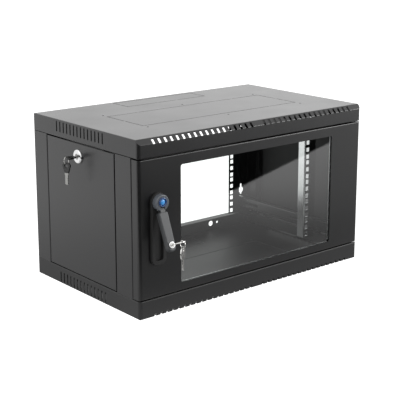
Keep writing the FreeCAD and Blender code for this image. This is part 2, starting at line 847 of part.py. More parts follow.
def glass_clamps():
    """Four folded strips that press the glass against its seal."""
    x0, x1, z0, z1 = glass_box()
    clamps = []
    end = clamp_gap + clamp_sheet + clamp_foot
    for edge, outward in ((x0, -1), (x1, 1)):
        line = clamp_line(edge, outward)
        if outward < 0:
            solid = folded(line, clamp_sheet, "z", z0 + end, z1 - z0 - 2 * end, 0.4)
        else:
            solid = folded(line[::-1], clamp_sheet, "z", z0 + end, z1 - z0 - 2 * end, 0.4)
        clamps.append(solid)
    for edge, outward in ((z0, -1), (z1, 1)):
        line = [(y, z) for z, y in clamp_line(edge, outward)]
        if outward < 0:
            solid = folded(line[::-1], clamp_sheet, "x", x0 + end, x1 - x0 - 2 * end, 0.4)
        else:
            solid = folded(line, clamp_sheet, "x", x0 + end, x1 - x0 - 2 * end, 0.4)
        clamps.append(solid)
    holes = [rod(stud_radius + 0.2, Vector(x, front, z), Vector(x, front + 9, z)) for x, z in stud_places()]
    return [cut_all(clamp, holes) for clamp in clamps]


def clamp_nuts():
    y = front + sheet + clamp_sheet
    return [nut(clamp_nut_flats, clamp_nut_height, stud_radius, Vector(x, y, z), (0, 1, 0))
            for x, z in stud_places()]


# ---- Door hinge ----
def collar_level():
    """Upper face of the sprung pin's collar, just under the door's top flange."""
    return door_high - sheet - seat_gap


def bracket_level():
    return collar_level() - pin_collar - spring_length - bracket_sheet


def hinge_bracket():
    """Angle inside the door that guides the sprung pin's tail."""
    wall = right - sheet
    z = bracket_level()
    line = [(wall - bracket_arm, z), (wall, z), (wall, z + bracket_rise)]
    angle = folded(line, bracket_sheet, "y", front + sheet, door_depth - 2 * sheet)
    axis = Vector(hinge_x, hinge_y, z - 5)
    angle = angle.common(door_block(sheet, door_back))
    return angle.cut(rod(hinge_pin_radius + pin_clearance, axis, axis + Vector(0, 0, 20)))


def hinge_pin_upper():
    """Sprung pin: it enters the top cover's lip and is drawn down by its bent tail."""
    tail = Vector(hinge_x, hinge_y, bracket_level() - pin_tail)
    high = Vector(hinge_x, hinge_y, collar_level())
    pin = rod(hinge_pin_radius, tail, Vector(hinge_x, hinge_y, seam_high + sheet + pin_entry))
    collar = rod(pin_collar_radius, high - Vector(0, 0, pin_collar), high)
    pull = rod(hinge_pin_radius * 0.8, tail + Vector(0, 0, hinge_pin_radius),
               tail + Vector(-pin_pull, 0, hinge_pin_radius))
    return pin.multiFuse([collar, pull]).removeSplitter()


def hinge_spring():
    """Compression spring on the pin, between the bracket and the pin's collar."""
    z0 = bracket_level() + bracket_sheet + spring_wire / 2 + 0.1
    z1 = collar_level() - pin_collar - spring_wire / 2 - 0.1
    radius = hinge_pin_radius + spring_wire / 2 + 0.25
    path = Part.makeHelix((z1 - z0) / spring_turns, z1 - z0, radius)
    start = Part.Circle(Vector(radius, 0, 0), Vector(0, 1, 0), spring_wire / 2).toShape()
    coil = Part.Wire(path).makePipeShell([Part.Wire(start)], True, True)
    coil.translate(Vector(hinge_x, hinge_y, z0))
    return coil


def hinge_pin_lower():
    """Fixed pin under the door, with its flange inside the door."""
    top = door_low + sheet
    pin = rod(hinge_pin_radius, Vector(hinge_x, hinge_y, seam_low - sheet - pin_entry),
              Vector(hinge_x, hinge_y, top + 2))
    flange = rod(pin_collar_radius, Vector(hinge_x, hinge_y, top), Vector(hinge_x, hinge_y, top + 2))
    return pin.fuse(flange).removeSplitter()


def hinge_washer():
    """Plain washer on the bottom cover's lip that carries the door."""
    low = Vector(hinge_x, hinge_y, seam_low)
    high = Vector(hinge_x, hinge_y, door_low - seat_gap)
    return rod(pin_collar_radius + 2, low, high).cut(rod(hinge_pin_radius + pin_clearance, low, high))


# ---- Swing handle ----
def handle_screw_z():
    return handle_base_bottom + base_screw_inset


def lever_axis():
    """Middle of the pin on which the lever swings out of its base."""
    y = front - handle_base_thickness - lever_gap - lever_thickness / 2
    return Vector(handle_x, y, head_z - lever_pivot_drop)


def handle_base():
    """Base on the door's face: a dished plate with the threaded collar behind it."""
    half = handle_base_width / 2
    y0 = front - handle_base_thickness
    z1 = handle_base_bottom + handle_base_length
    outline = [(handle_x - half, handle_base_bottom, half * 0.7),
               (handle_x + half, handle_base_bottom, half * 0.7),
               (handle_x + half, z1, half - 0.1), (handle_x - half, z1, half - 0.1)]
    plate = prism(outline, "y", y0, handle_base_thickness)
    plate = plate.makeFillet(2.5, edges_at(plate, "y", y0))
    half = pocket_width / 2
    pocket_low = handle_base_bottom + pocket_margin
    pocket = prism(rounded_rect(handle_x - half, handle_x + half, pocket_low, pocket_low + pocket_length, 6),
                   "y", y0 - 1, pocket_depth + 1)
    centre = Vector(handle_x, front, head_z)
    collar = rod(collar_radius, centre, centre + Vector(0, collar_length, 0))
    bore = rod(spindle_radius + pin_clearance, centre - Vector(0, 2 * handle_base_thickness, 0),
               centre + Vector(0, 2 * collar_length, 0))
    screw_hole = rod(cover_screw_radius * 0.8, Vector(handle_x, front - 5, handle_screw_z()),
                     Vector(handle_x, front + 1, handle_screw_z()))
    return plate.fuse(collar).removeSplitter().cut(Part.makeCompound([pocket, bore, screw_hole]))


def handle_screw():
    seat = Vector(handle_x, front + sheet, handle_screw_z())
    head = rod(cover_screw_radius * 1.9, seat, seat + Vector(0, cover_screw_radius, 0))
    return head.fuse(rod(cover_screw_radius * 0.8, seat, seat - Vector(0, sheet + 5, 0))).removeSplitter()


def spindle_end():
    """Inner end of the spindle, against the cam's near face."""
    return post_front + sheet + cam_clearance


def handle_head():
    """Round turning head with the lever's fork in front and the spindle behind."""
    y1 = front - handle_base_thickness - head_gap
    y0 = y1 - head_thickness
    disc = rod(head_radius, Vector(handle_x, y0, head_z), Vector(handle_x, y1, head_z))
    disc = disc.makeFillet(1.8, edges_at(disc, "y", y0))
    spindle = rod(spindle_radius, Vector(handle_x, y1, head_z), Vector(handle_x, spindle_end(), head_z))
    body = disc.fuse(spindle).removeSplitter()
    axis = lever_axis()
    reach = lever_thickness / 2 + 0.25
    gap = box(handle_x - lever_tongue / 2 - 0.3, handle_x + lever_tongue / 2 + 0.3, y0 - 1, y1 + 0.2,
              head_z - head_radius - 1, axis.z + reach)
    cap_z = head_z + cap_rise
    recess = rod(cap_radius, Vector(handle_x, y0 - 1, cap_z), Vector(handle_x, y0 + 1, cap_z))
    across = Vector(head_radius, 0, 0)
    pin_hole = rod(lever_pin_radius, axis - across, axis + across)
    return body.cut(Part.makeCompound([gap, recess, pin_hole]))


def handle_cap():
    """Domed blind cap let into the head."""
    y0 = front - handle_base_thickness - head_gap - head_thickness
    seat = Vector(handle_x, y0 + 1, head_z + cap_rise)
    cap = rod(cap_radius, seat, seat - Vector(0, 1 + cap_height, 0))
    return cap.makeFillet(cap_height * 0.8, edges_at(cap, "y", y0 - cap_height))


def pop_out(shape):
    """Swing a shape modelled on the shut lever out to the rest position."""
    turned_out = shape.copy()
    turned_out.rotate(lever_axis(), Vector(-1, 0, 0), lever_rest_angle)
    return turned_out


def lever():
    """Lever, modelled shut and then swung out: tongue, tapered grip, hollow back and lock bore."""
    axis = lever_axis()
    half = lever_width / 2
    tip = lever_tip_width / 2
    start = axis.z - lever_thickness / 2 - 1.5
    end = axis.z - lever_length
    y0 = axis.y - lever_thickness / 2
    outline = [(handle_x - half, start, 3), (handle_x - tip, end, tip - 0.6),
               (handle_x + tip, end, tip - 0.6), (handle_x + half, start, 3)]
    grip = prism(outline, "y", y0, lever_thickness)
    grip = grip.makeFillet(2.2, edges_at(grip, "y", y0))
    tongue = box(handle_x - lever_tongue / 2, handle_x + lever_tongue / 2, y0 + 0.5, y0 + lever_thickness,
                 start - 4, axis.z)
    across = Vector(lever_tongue / 2, 0, 0)
    eye = rod(lever_thickness / 2 - 0.25, axis - across, axis + across)
    body = grip.multiFuse([tongue, eye]).removeSplitter()
    back = y0 + lever_thickness
    hollow_low = lever_lock_z() + lever_lock_radius + 4
    hollow = prism(rounded_rect(handle_x - half + 4, handle_x + half - 4, hollow_low, start - 6, 3),
                   "y", back - 6, 8)
    bore = rod(lever_lock_radius, Vector(handle_x, y0 - 9, lever_lock_z()),
               Vector(handle_x, back + 9, lever_lock_z()))
    pin_hole = rod(lever_pin_radius + pin_clearance, axis - Vector(half, 0, 0), axis + Vector(half, 0, 0))
    return pop_out(body.cut(Part.makeCompound([hollow, bore, pin_hole])))


def lever_lock_z():
    return lever_axis().z - lever_lock_drop


def lever_lock_face():
    """Centre of the lock's face with the lever shut."""
    y = lever_axis().y - lever_thickness / 2 - lever_lock_proud
    return Vector(handle_x, y, lever_lock_z())


def lever_lock_length():
    return lever_lock_proud + lever_thickness + pocket_depth - 2 * lever_gap


def lever_lock():
    """Barrel and plug of the lever's lock."""
    face = lever_lock_face()
    inner_end = face + Vector(0, lever_lock_length(), 0)
    barrel = rod(lever_lock_radius, face, inner_end)
    barrel = barrel.makeFillet(0.8, edges_at(barrel, "y", face.y))
    barrel = barrel.cut(rod(plug_radius + pin_clearance, face - Vector(0, 5, 0), inner_end + Vector(0, 5, 0)))
    plug = rod(plug_radius, face, inner_end)
    plug = plug.cut(key_slot(face, Vector(0, -1, 0), Vector(1, 0, 0), lever_lock_length() - 1))
    return pop_out(barrel), pop_out(plug)


def lever_pin():
    axis = lever_axis()
    reach = math.sqrt(head_radius ** 2 - lever_pivot_drop ** 2) - 0.2
    return rod(lever_pin_radius, axis - Vector(reach, 0, 0), axis + Vector(reach, 0, 0))


def door_cam():
    """Latch cam on the spindle's end; its tip stops just short of the post it latches behind."""
    y0 = spindle_end()
    half = door_cam_width / 2
    tip = left + post_face + cam_clearance
    outline = [(tip, head_z - half, 2), (handle_x + half, head_z - half, half - 0.1),
               (handle_x + half, head_z + half, half - 0.1), (tip, head_z + half, 2)]
    return prism(outline, "y", y0, door_cam_thickness)


def door_cam_screw():
    seat = Vector(handle_x, spindle_end() + door_cam_thickness, head_z)
    return hexagon(cam_screw_flats, seat, seat + Vector(0, cam_screw_height, 0))


# ---- Assembly ----
def both_sides(solids):
    """The left solids and their mirror images on the right."""
    return solids + [mirror_x(solid) for solid in solids]


def make_body():
    save("top_cover", cover(True))
    save("bottom_cover", mirror_z(cover(False)))
    for name, solid in (("front_post", front_post()), ("rear_post", rear_post()),
                        ("depth_bar_lower", depth_bar()), ("depth_bar_upper", mirror_z(depth_bar()))):
        save(name + "_left", solid)
        save(name + "_right", mirror_x(solid))
    for name, solid in (("rack_rail_front", rack_rail(front_rail_y, rail_web, rail_lip)),
                        ("rack_rail_rear", rack_rail(rear_rail_y, rear_rail_web, rear_rail_lip))):
        save(name + "_left", solid)
        save(name + "_right", mirror_x(solid))
    save("rail_bolts", *both_sides(rail_bolts()))
    save("rail_nuts", *both_sides(rail_nuts()))
    save("cover_screws", *cover_screws())
    save("hinge_washer", hinge_washer())


def make_side_panels():
    panel = side_panel()
    names = ("side_lock_body", "side_lock_nut", "side_lock_plug", "side_lock_cam", "side_cam_screw")
    save("side_panel_left", panel)
    save("side_panel_right", mirror_x(panel))
    for name, solid in zip(names, side_lock()):
        save(name + "_left", solid)
        save(name + "_right", mirror_x(solid))


def side_key_places():
    """Mouth of the left side lock, its outward direction and the blade's flat direction."""
    return Vector(left - lock_face_height, side_lock_y, side_lock_height), Vector(-1, 0, 0), Vector(0, 1, 0)


def side_ring_heading():
    turn = math.radians(ring_turn)
    return Vector(-math.cos(turn), -math.sin(turn), 0)


def side_ring():
    mouth, u, v = side_key_places()
    return hanging_ring(mouth + u * (head_end() - key_rim / 2), side_ring_heading(), key_head_thickness / 2)


def make_side_keys():
    """Key in the left side lock, the ring on it and the spare key that hangs from the ring."""
    mouth, u, v = side_key_places()
    stem, head = headed_key(lip)
    save("side_key_blade", placed(stem, mouth, u, v))
    save("side_key_head", placed(head, mouth, u, v))
    centre, ring = side_ring()
    save("side_key_ring", ring)
    origin = spare_origin(centre, head_end())
    across = Vector(0, 0, 1).cross(side_ring_heading())
    save("side_spare_key_blade", placed(stem, origin, Vector(0, 0, 1), across))
    save("side_spare_key_head", placed(head, origin, Vector(0, 0, 1), across))


def make_door():
    save("door_frame", door_frame())
    save("glass_seal", glass_seal())
    save("door_glass", door_glass())
    save("glass_clamps", *glass_clamps())
    save("clamp_nuts", *clamp_nuts())
    save("hinge_bracket", hinge_bracket())
    save("hinge_pin_upper", hinge_pin_upper())
    save("hinge_spring", hinge_spring())
    save("hinge_pin_lower", hinge_pin_lower())


def make_handle():
    save("handle_base", handle_base())
    collar = Vector(handle_x, front + sheet, head_z)
    save("handle_nut", nut(collar_nut_flats, collar_nut_height, collar_radius, collar, (0, 1, 0)))
    save("handle_screw", handle_screw())
    save("handle_head", handle_head())
    save("handle_cap", handle_cap())
    save("handle_lever", lever())
    save("lever_pin", lever_pin())
    barrel, plug = lever_lock()
    save("lever_lock_barrel", barrel)
    save("lever_lock_plug", plug)
    save("door_cam", door_cam())
    save("door_cam_screw", door_cam_screw())


def handle_key_frame():
    """Mouth of the lever's lock at rest, its outward direction and the blade's flat direction."""
    tilt = math.radians(lever_rest_angle)
    mouth = lever_lock_face()
    swing = Rotation(Vector(-1, 0, 0), lever_rest_angle)
    mouth = lever_axis() + swing.multVec(mouth.sub(lever_axis()))
    return mouth, Vector(0, -math.cos(tilt), math.sin(tilt)), Vector(1, 0, 0)


def handle_ring():
    mouth, u, v = handle_key_frame()
    tilt = math.radians(lever_rest_angle)
    rise = key_rim / 2 * math.sin(tilt) + key_thickness / 2 * math.cos(tilt)
    return hanging_ring(mouth + u * (key_end() - key_rim / 2), Vector(0, -1, 0), rise)


def make_handle_keys():
    """Key in the lever's lock, the ring on it and the spare key that hangs from the ring."""
    mouth, u, v = handle_key_frame()
    key = metal_key(lever_lock_length() - 2)
    save("handle_key", placed(key, mouth, u, v))
    centre, ring = handle_ring()
    save("handle_key_ring", ring)
    twist = math.radians(spare_turn)
    across = Vector(math.cos(twist), math.sin(twist), 0)
    save("handle_spare_key", placed(key, spare_origin(centre, key_end()), Vector(0, 0, 1), across))


os.makedirs("parts", exist_ok=True)
make_body()
make_side_panels()
make_side_keys()
make_door()
make_handle()
make_handle_keys()
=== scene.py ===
import math

import bmesh
import bpy
import numpy as np
from bpy.props import FloatProperty, IntProperty, PointerProperty, StringProperty
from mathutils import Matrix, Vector


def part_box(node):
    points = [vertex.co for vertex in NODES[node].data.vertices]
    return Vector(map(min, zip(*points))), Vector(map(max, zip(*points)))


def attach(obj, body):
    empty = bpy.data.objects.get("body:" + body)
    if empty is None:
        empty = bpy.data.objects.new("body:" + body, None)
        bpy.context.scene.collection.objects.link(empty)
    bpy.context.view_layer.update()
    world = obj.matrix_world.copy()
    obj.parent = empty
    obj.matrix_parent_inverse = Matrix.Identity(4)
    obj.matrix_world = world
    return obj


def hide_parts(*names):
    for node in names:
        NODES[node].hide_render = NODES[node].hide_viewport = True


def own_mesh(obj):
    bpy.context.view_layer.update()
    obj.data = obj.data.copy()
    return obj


bl_info = {
    "name": "Wall Cabinet Dressing",
    "version": (1, 0, 0),
    "blender": (4, 5, 0),
    "location": "View3D > Sidebar > Cabinet",
    "description": "Dresses the packed wall cabinet with its finishes, small fittings and studio",
    "category": "Object",
}

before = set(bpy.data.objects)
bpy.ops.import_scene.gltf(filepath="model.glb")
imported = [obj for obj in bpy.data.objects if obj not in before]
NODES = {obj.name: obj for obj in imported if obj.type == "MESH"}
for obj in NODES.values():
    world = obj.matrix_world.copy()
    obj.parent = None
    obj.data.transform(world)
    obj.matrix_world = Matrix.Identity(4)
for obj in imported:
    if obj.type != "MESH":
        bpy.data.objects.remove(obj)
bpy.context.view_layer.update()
MM = 0.001
SHELL = ("top_cover", "front_post_left", "front_post_right", "rear_post_left", "rear_post_right",
         "depth_bar_lower_left", "depth_bar_lower_right", "depth_bar_upper_left", "depth_bar_upper_right")
FRONT_RAILS = ("rack_rail_front_left", "rack_rail_front_right")
REAR_RAILS = ("rack_rail_rear_left", "rack_rail_rear_right")

# Powder coats and mouldings: roughness from 0 (mirror) to 1 (matt).
SHELL_ROUGH = 0.3
BELOW_ROUGH = 0.5
RIGHT_PANEL_ROUGH = 0.6
REAR_RAIL_ROUGH = 0.4
DOOR_ROUGH = 0.32
FOAM_ROUGH = 0.9
HANDLE_BASE_ROUGH = 0.75
LEVER_ROUGH = 0.42
HEAD_ROUGH = 0.35
KEY_HEAD_ROUGH = 0.35
CAP_ROUGH = 0.22
# Plated metals: roughness, and how far it varies.
RAIL_ZINC = (0.2, 0.05)
FITTING_ZINC = (0.35, 0.08)
LEVER_CHROME = (0.15, 0.05)
LOCK_CHROME = (0.14, 0.05)
KEY_NICKEL = (0.2, 0.06)
WORN_STEEL = (0.3, 0.08)
# Size of the marks in each finish.
PEEL = 3 * MM
CLOUD = 90 * MM
METAL_MARKS = 6 * MM
FINE_GRAIN = 1.5 * MM
COARSE_GRAIN = 2 * MM
CAP_GRAIN = 3 * MM
BUMP_DEPTH = 0.03 * MM
# A pane's two faces mirror a little less than twice what one face does.
PANE_MIRROR = 1.85

# Distances in metres below which two points are one, and by which a face stands clear of a cut.
TOUCH = 1e-7
WELD = 1e-6
CLEAR = 1e-5
# Points along a quarter or half circle.
ARC_STEPS = 9
UP = (0.0, 0.0, 1.0)
WHITE = (1, 1, 1, 1)


# ---- Sizes and colours that a user may change ----
def paint_colour(name, description, default):
    """A colour of the panel, as an sRGB hex value."""
    return StringProperty(name=name, description=description, default=default)


def length(name, description, default, low, high):
    """A length of the panel, given in millimetres with its limits."""
    return FloatProperty(name=name, description=description, unit="LENGTH", default=default * MM,
                         min=low * MM, max=high * MM)


class CabinetFinishes(bpy.types.PropertyGroup):
    """Colours of the cabinet's finishes, as sRGB hex values."""
    shell: paint_colour("Shell", "Powder coat of covers and posts", "#0f0f10")
    panel: paint_colour("Side panels", "Powder coat of the side panels", "#121213")
    # Painted shade: a darker copy of the shell's black coat, used on the door, the bottom cover and the right
    # side panel.
    door: paint_colour("Door", "Powder coat of the door", "#09090a")
    zinc: paint_colour("Zinc", "Zinc-plated rails and fittings", "#e4e5e6")
    chrome: paint_colour("Chrome", "Chrome-plated lock faces", "#dcdcdc")
    nickel: paint_colour("Nickel", "Nickel-plated keys and rings", "#d9d8d5")
    # On the lock plugs this darker grey is partly wear and partly painted shade of the keyway.
    steel: paint_colour("Steel", "Worn blade and plug of a side lock", "#8f8f8d")
    nylon: paint_colour("Nylon", "Handle base and key heads", "#060606")
    lever: paint_colour("Lever", "Lever of the handle", "#2e3032")
    casting: paint_colour("Casting", "Turning head of the handle", "#54585e")
    cap: paint_colour("Cap", "Button of the handle's blind cap", "#3f97e0")
    cap_rim: paint_colour("Cap rim", "Rim of the handle's blind cap", "#123a6e")
    foam: paint_colour("Foam", "Seal between glass and door", "#0d0d0d")
    glass: paint_colour("Glass", "Tint of the door's pane", "#fafcfb")


class CabinetFittings(bpy.types.PropertyGroup):
    """Sizes of the small fittings."""
    sheet: length("Sheet", "Thickness of the covers", 1.2, 0.8, 2)
    rail_sheet: length("Rail sheet", "Thickness of the rack rails", 1.5, 1, 2.5)
    lip_width: length("Lip width", "Side lip of a cover, from its outside", 20, 10, 30)
    lip_rise: length("Lip rise", "Turned edge of the side lip in the solid", 22, 10, 25)
    lip_edge: length("Lip edge", "Outermost part of the turned edge", 5, 2, 6)
    spring_wire: length("Spring wire", "Wire of the hinge pin's spring", 0.8, 0.4, 1.2)
    spring_turns: IntProperty(name="Spring turns", description="Turns of the hinge pin's spring", default=6,
                              min=3, max=12)
    ring_turns: FloatProperty(name="Ring turns", description="Turns of wire in a split ring", default=1.9,
                              min=1.2, max=1.95)
    round_steps: IntProperty(name="Round steps", description="Steps round a turned fitting", default=64,
                             min=16, max=160)


class CabinetStudio(bpy.types.PropertyGroup):
    """Camera and light."""
    azimuth: FloatProperty(name="Azimuth", description="Camera's way round the cabinet",
                           default=math.radians(-39.702), subtype="ANGLE", unit="ROTATION")
    elevation: FloatProperty(name="Elevation", description="Camera's height above the level",
                             default=math.radians(13.067), subtype="ANGLE", unit="ROTATION")
    distance: FloatProperty(name="Distance", description="Camera to the cabinet's middle",
                            default=2290.566 * MM, unit="LENGTH")
    slide: FloatProperty(name="Slide", description="Camera's step to its own right",
                         default=-1.799 * MM, unit="LENGTH")
    lift: FloatProperty(name="Lift", description="Camera's step up its own frame",
                        default=59.848 * MM, unit="LENGTH")
    view: FloatProperty(name="View", description="Focal length over the frame's width", default=2.65799)
    shift: FloatProperty(name="Shift", description="Vertical shift of the lens", default=-0.1)
    backdrop: FloatProperty(name="Backdrop", description="Brightness behind the cabinet", default=1.35, min=0)
    front: FloatProperty(name="Front", description="Brightness in front of the cabinet", default=1.15, min=0)


# ---- Shapes ----
def surface(name, grid, wrap_columns=False):
    """A mesh from a grid of points, whose columns may close into a ring: every cell is one four-sided face.
    Coincident points, as at a pole, are merged, and the faces are turned outwards."""
    rows, columns = grid.shape[:2]
    index = np.arange(rows * columns).reshape(rows, columns)
    cells = index[:, np.arange(columns + wrap_columns) % columns]
    corners = [cells[:-1, :-1], cells[1:, :-1], cells[1:, 1:], cells[:-1, 1:]]
    faces = np.stack(corners, axis=-1).reshape(-1, 4)
    mesh = bpy.data.meshes.new(name)
    mesh.from_pydata(grid.reshape(-1, 3).tolist(), [], faces.tolist())
    work = bmesh.new()
    work.from_mesh(mesh)
    bmesh.ops.remove_doubles(work, verts=work.verts, dist=TOUCH)
    bmesh.ops.recalc_face_normals(work, faces=work.faces)
    work.to_mesh(mesh)
    work.free()
    mesh.shade_smooth()
    made = bpy.data.objects.new(name, mesh)
    bpy.context.scene.collection.objects.link(made)
    return made


def around(steps):
    """Evenly spaced angles round a full turn."""
    return np.linspace(0, 2 * math.pi, steps, endpoint=False)


def axes_of(direction):
    """A direction as a unit vector, and two more that are square to it and to each other."""
    along = np.array(direction, float)
    along /= np.linalg.norm(along)
    side = np.cross(along, UP if abs(along[2]) < 0.9 else (1.0, 0.0, 0.0))
    side /= np.linalg.norm(side)
    return along, side, np.cross(along, side)


def turned_piece(name, profile, origin, direction, steps):
    """A turned piece: the profile's points (radius, height) are carried round the axis.
    Point = origin + height * axis + radius * (cos a * side + sin a * up), for angles a of a full turn."""
    along, side, up = axes_of(direction)
    profile = np.array(profile, float)
    angle = around(steps)[None, :, None]
    radius = profile[:, 0][:, None, None]
    height = profile[:, 1][:, None, None]
    grid = np.array(origin, float) + height * along + radius * (np.cos(angle) * side + np.sin(angle) * up)
    return surface(name, grid, wrap_columns=True)


def swept_piece(name, centre, side, up, section):
    """A section carried along a path, closed at both ends:
    point = centre(t) + a * side(t) + b * up(t) for each section point (a, b)."""
    a = section[:, 0][None, :, None]
    b = section[:, 1][None, :, None]
    grid = centre[:, None, :] + a * side[:, None, :] + b * up[:, None, :]
    ends = [np.repeat(centre[k][None, None, :], len(section), axis=1) for k in (0, -1)]
    return surface(name, np.concatenate([ends[0], grid, ends[1]], axis=0), wrap_columns=True)


# ---- Materials ----
def linear(code):
    """sRGB hex to linear red, green and blue, with full alpha."""
    parts = [int(code[i:i + 2], 16) / 255 for i in (1, 3, 5)]
    return (*(p / 12.92 if p <= 0.04045 else ((p + 0.055) / 1.055) ** 2.4 for p in parts), 1.0)


def add(tree, kind, settings=None, inputs=None):
    """Add one node with its own settings, its sockets' values and the sockets that feed it."""
    made = tree.nodes.new(kind)
    for key, value in (settings or {}).items():
        setattr(made, key, value)
    for key, value in (inputs or {}).items():
        if isinstance(value, bpy.types.NodeSocket):
            tree.links.new(value, made.inputs[key])
        else:
            made.inputs[key].default_value = value
    return made


def material(name):
    """An empty node material and its tree."""
    made = bpy.data.materials.new(name)
    made.use_nodes = True
    made.node_tree.nodes.clear()
    return made, made.node_tree


def finish_surface(tree, shader):
    """Feed a shader to the material's surface."""
    add(tree, "ShaderNodeOutputMaterial", None, {"Surface": shader.outputs[0]})


def scaled(colour, by):
    """Linear colour of a hex code, made darker or lighter."""
    return (*(min(1, c * by) for c in linear(colour)[:3]), 1)


def blend(tree, factor, first, second):
    """Colour between two others."""
    mixed = add(tree, "ShaderNodeMix", {"data_type": "RGBA"}, {"Factor": factor, 6: first, 7: second})
    return mixed.outputs[2]


def ramp(tree, value, span, ends, smooth=False):
    """Carry a value from one span to another, straight or eased, and hold it at either end."""
    kind = {"interpolation_type": "SMOOTHSTEP"} if smooth else None
    inputs = {"Value": value, "From Min": span[0], "From Max": span[1], "To Min": ends[0], "To Max": ends[1]}
    return add(tree, "ShaderNodeMapRange", kind, inputs).outputs[0]


def arithmetic(tree, operation, *values):
    """One sum or product of two or three values."""
    return add(tree, "ShaderNodeMath", {"operation": operation}, dict(enumerate(values))).outputs[0]


def marks(tree, size, detail):
    """Cloudy marks of one size, fixed to the piece."""
    place = add(tree, "ShaderNodeTexCoord").outputs["Object"]
    noise = add(tree, "ShaderNodeTexNoise", None, {"Vector": place, "Scale": 1 / size, "Detail": detail})
    return noise.outputs["Fac"]


def relief(tree, height, strength):
    """Normals of a shallow relief."""
    return add(tree, "ShaderNodeBump", None, {
        "Strength": strength, "Distance": BUMP_DEPTH, "Height": height}).outputs[0]


def powder_coat(name, colour, roughness):
    """Polyester powder coat on sheet steel, sprayed and baked: a semi-matt skin with a slight orange peel.
    Real peel is 1 to 2 mm across and too fine to show, so it is drawn 3 mm across."""
    made, tree = material(name)
    cloud = marks(tree, CLOUD, 3.0)
    finish_surface(tree, add(tree, "ShaderNodeBsdfPrincipled", None, {
        "Base Color": blend(tree, cloud, linear(colour), scaled(colour, 1.22)),
        "Roughness": ramp(tree, cloud, (0, 1), (roughness - 0.03, roughness + 0.04)),
        "IOR": 1.5, "Normal": relief(tree, marks(tree, PEEL, 2.0), 0.05)}))
    return made


def plated_metal(name, colour, gloss):
    """Electroplated steel: a metal skin that follows the metal's own fine marks.
    gloss is its roughness and how far that varies; the marks are drawn 6 mm across to show."""
    made, tree = material(name)
    roughness, mottle = gloss
    worn = marks(tree, METAL_MARKS, 4.0)
    finish_surface(tree, add(tree, "ShaderNodeBsdfPrincipled", None, {
        "Base Color": blend(tree, worn, scaled(colour, 0.86), linear(colour)), "Metallic": 1.0,
        "Roughness": ramp(tree, worn, (0, 1), (roughness - mottle, roughness + mottle))}))
    return made


def moulded_plastic(name, colour, roughness, grain, coat=0.0):
    """Moulded plastic or foam, or paint on a casting: even colour with the texture of its mould, grain in
    metres, and a clear coat where the surface is glossy."""
    made, tree = material(name)
    spark = marks(tree, grain, 3.0)
    finish_surface(tree, add(tree, "ShaderNodeBsdfPrincipled", None, {
        "Base Color": blend(tree, spark, scaled(colour, 0.9), linear(colour)), "Roughness": roughness,
        "IOR": 1.53, "Coat Weight": coat, "Coat Roughness": 0.05, "Normal": relief(tree, spark, 0.15)}))
    return made


def float_glass(name, colour):
    """Tempered float glass, polished on both faces: nearly all light goes straight through, tinted a little,
    and the rest is mirrored, more of it at a slant. The face turned to the eye mirrors for both faces."""
    made, tree = material(name)
    clear = add(tree, "ShaderNodeBsdfTransparent", None, {"Color": linear(colour)})
    mirror = add(tree, "ShaderNodeBsdfGlossy", None, {"Color": WHITE, "Roughness": 0.0})
    slant = add(tree, "ShaderNodeFresnel", None, {"IOR": 1.5})
    away = add(tree, "ShaderNodeNewGeometry").outputs["Backfacing"]
    share = arithmetic(tree, "MULTIPLY", slant.outputs[0], ramp(tree, away, (0, 1), (PANE_MIRROR, 0)))
    finish_surface(tree, add(tree, "ShaderNodeMixShader", None, {
        0: share, 1: clear.outputs[0], 2: mirror.outputs[0]}))
    return made


def paint(made, *names):
    """Give CAD nodes one finish over all of their faces."""
    for name in names:
        mesh = NODES[name].data
        mesh.materials.clear()
        mesh.materials.append(made)


def finishes():
    """The colours in the panel."""
    return bpy.context.scene.cabinet_finishes


def fittings():
    """The sizes in the panel."""
    return bpy.context.scene.cabinet_fittings


# ---- Operators ----
class CabinetShell(bpy.types.Operator):
    """Powder coat on the covers, posts and depth bars"""
    bl_idname = "cabinet.shell"
    bl_label = "Covers and posts"

    def execute(self, context):
        coat = powder_coat("powder_coat_on_sheet_steel", finishes().shell, SHELL_ROUGH)
        paint(coat, *SHELL)
        # Painted shade: the bottom cover takes the darker copy of the black coat, with a rougher finish.
        paint(powder_coat("duller_powder_coat_below_with_painted_shade", finishes().door, BELOW_ROUGH), "bottom_cover")
        sizes = fittings()
        for cover, seam, way in (("top_cover", 0, 1), ("bottom_cover", 1, -1)):
            for side in ("left", "right"):
                self.lip_edge(cover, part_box(cover)[seam].z, way, side, sizes, coat)
        return {"FINISHED"}

    def lip_edge(self, cover, seam, way, side, sizes, coat):
        """Last few millimetres of a cover's turned side lip: a flat strip that ends in a rounded edge."""
        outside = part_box(cover)[side == "right"].x
        inward = 1 if side == "left" else -1
        y_low, y_high = (corner.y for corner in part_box("side_panel_" + side))
        middle = outside + inward * (sizes.lip_width - sizes.sheet / 2)
        start = seam + way * sizes.lip_rise
        turn = np.linspace(0, math.pi, ARC_STEPS)
        half = sizes.sheet / 2
        rounded = np.stack([half * np.cos(turn), sizes.lip_edge - half + half * np.sin(turn)], 1)
        section = np.concatenate([[[-half, 0.0], [half, 0.0]], rounded])
        path = np.stack([np.full(2, middle), np.array([y_low, y_high]), np.full(2, start)], 1)
        across = np.tile([1.0, 0.0, 0.0], (2, 1))
        rise = np.tile([0.0, 0.0, float(way)], (2, 1))
        strip = swept_piece(cover.split("_")[0] + "_lip_edge_" + side, path, across, rise, section)
        strip.data.materials.append(coat)
        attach(strip, "cabinet")


class CabinetSidePanels(bpy.types.Operator):
    """Powder coat on the two lift-off side panels"""
    bl_idname = "cabinet.side_panels"
    bl_label = "Side panels"

    def execute(self, context):
        colours = finishes()
        paint(powder_coat("powder_coat_on_side_panels", colours.panel, SHELL_ROUGH), "side_panel_left")
        # Painted shade: the right panel takes the darker copy of the black coat, with a rougher finish.
        paint(powder_coat("duller_powder_coat_on_right_with_painted_shade", colours.door, RIGHT_PANEL_ROUGH), "side_panel_right")
        return {"FINISHED"}


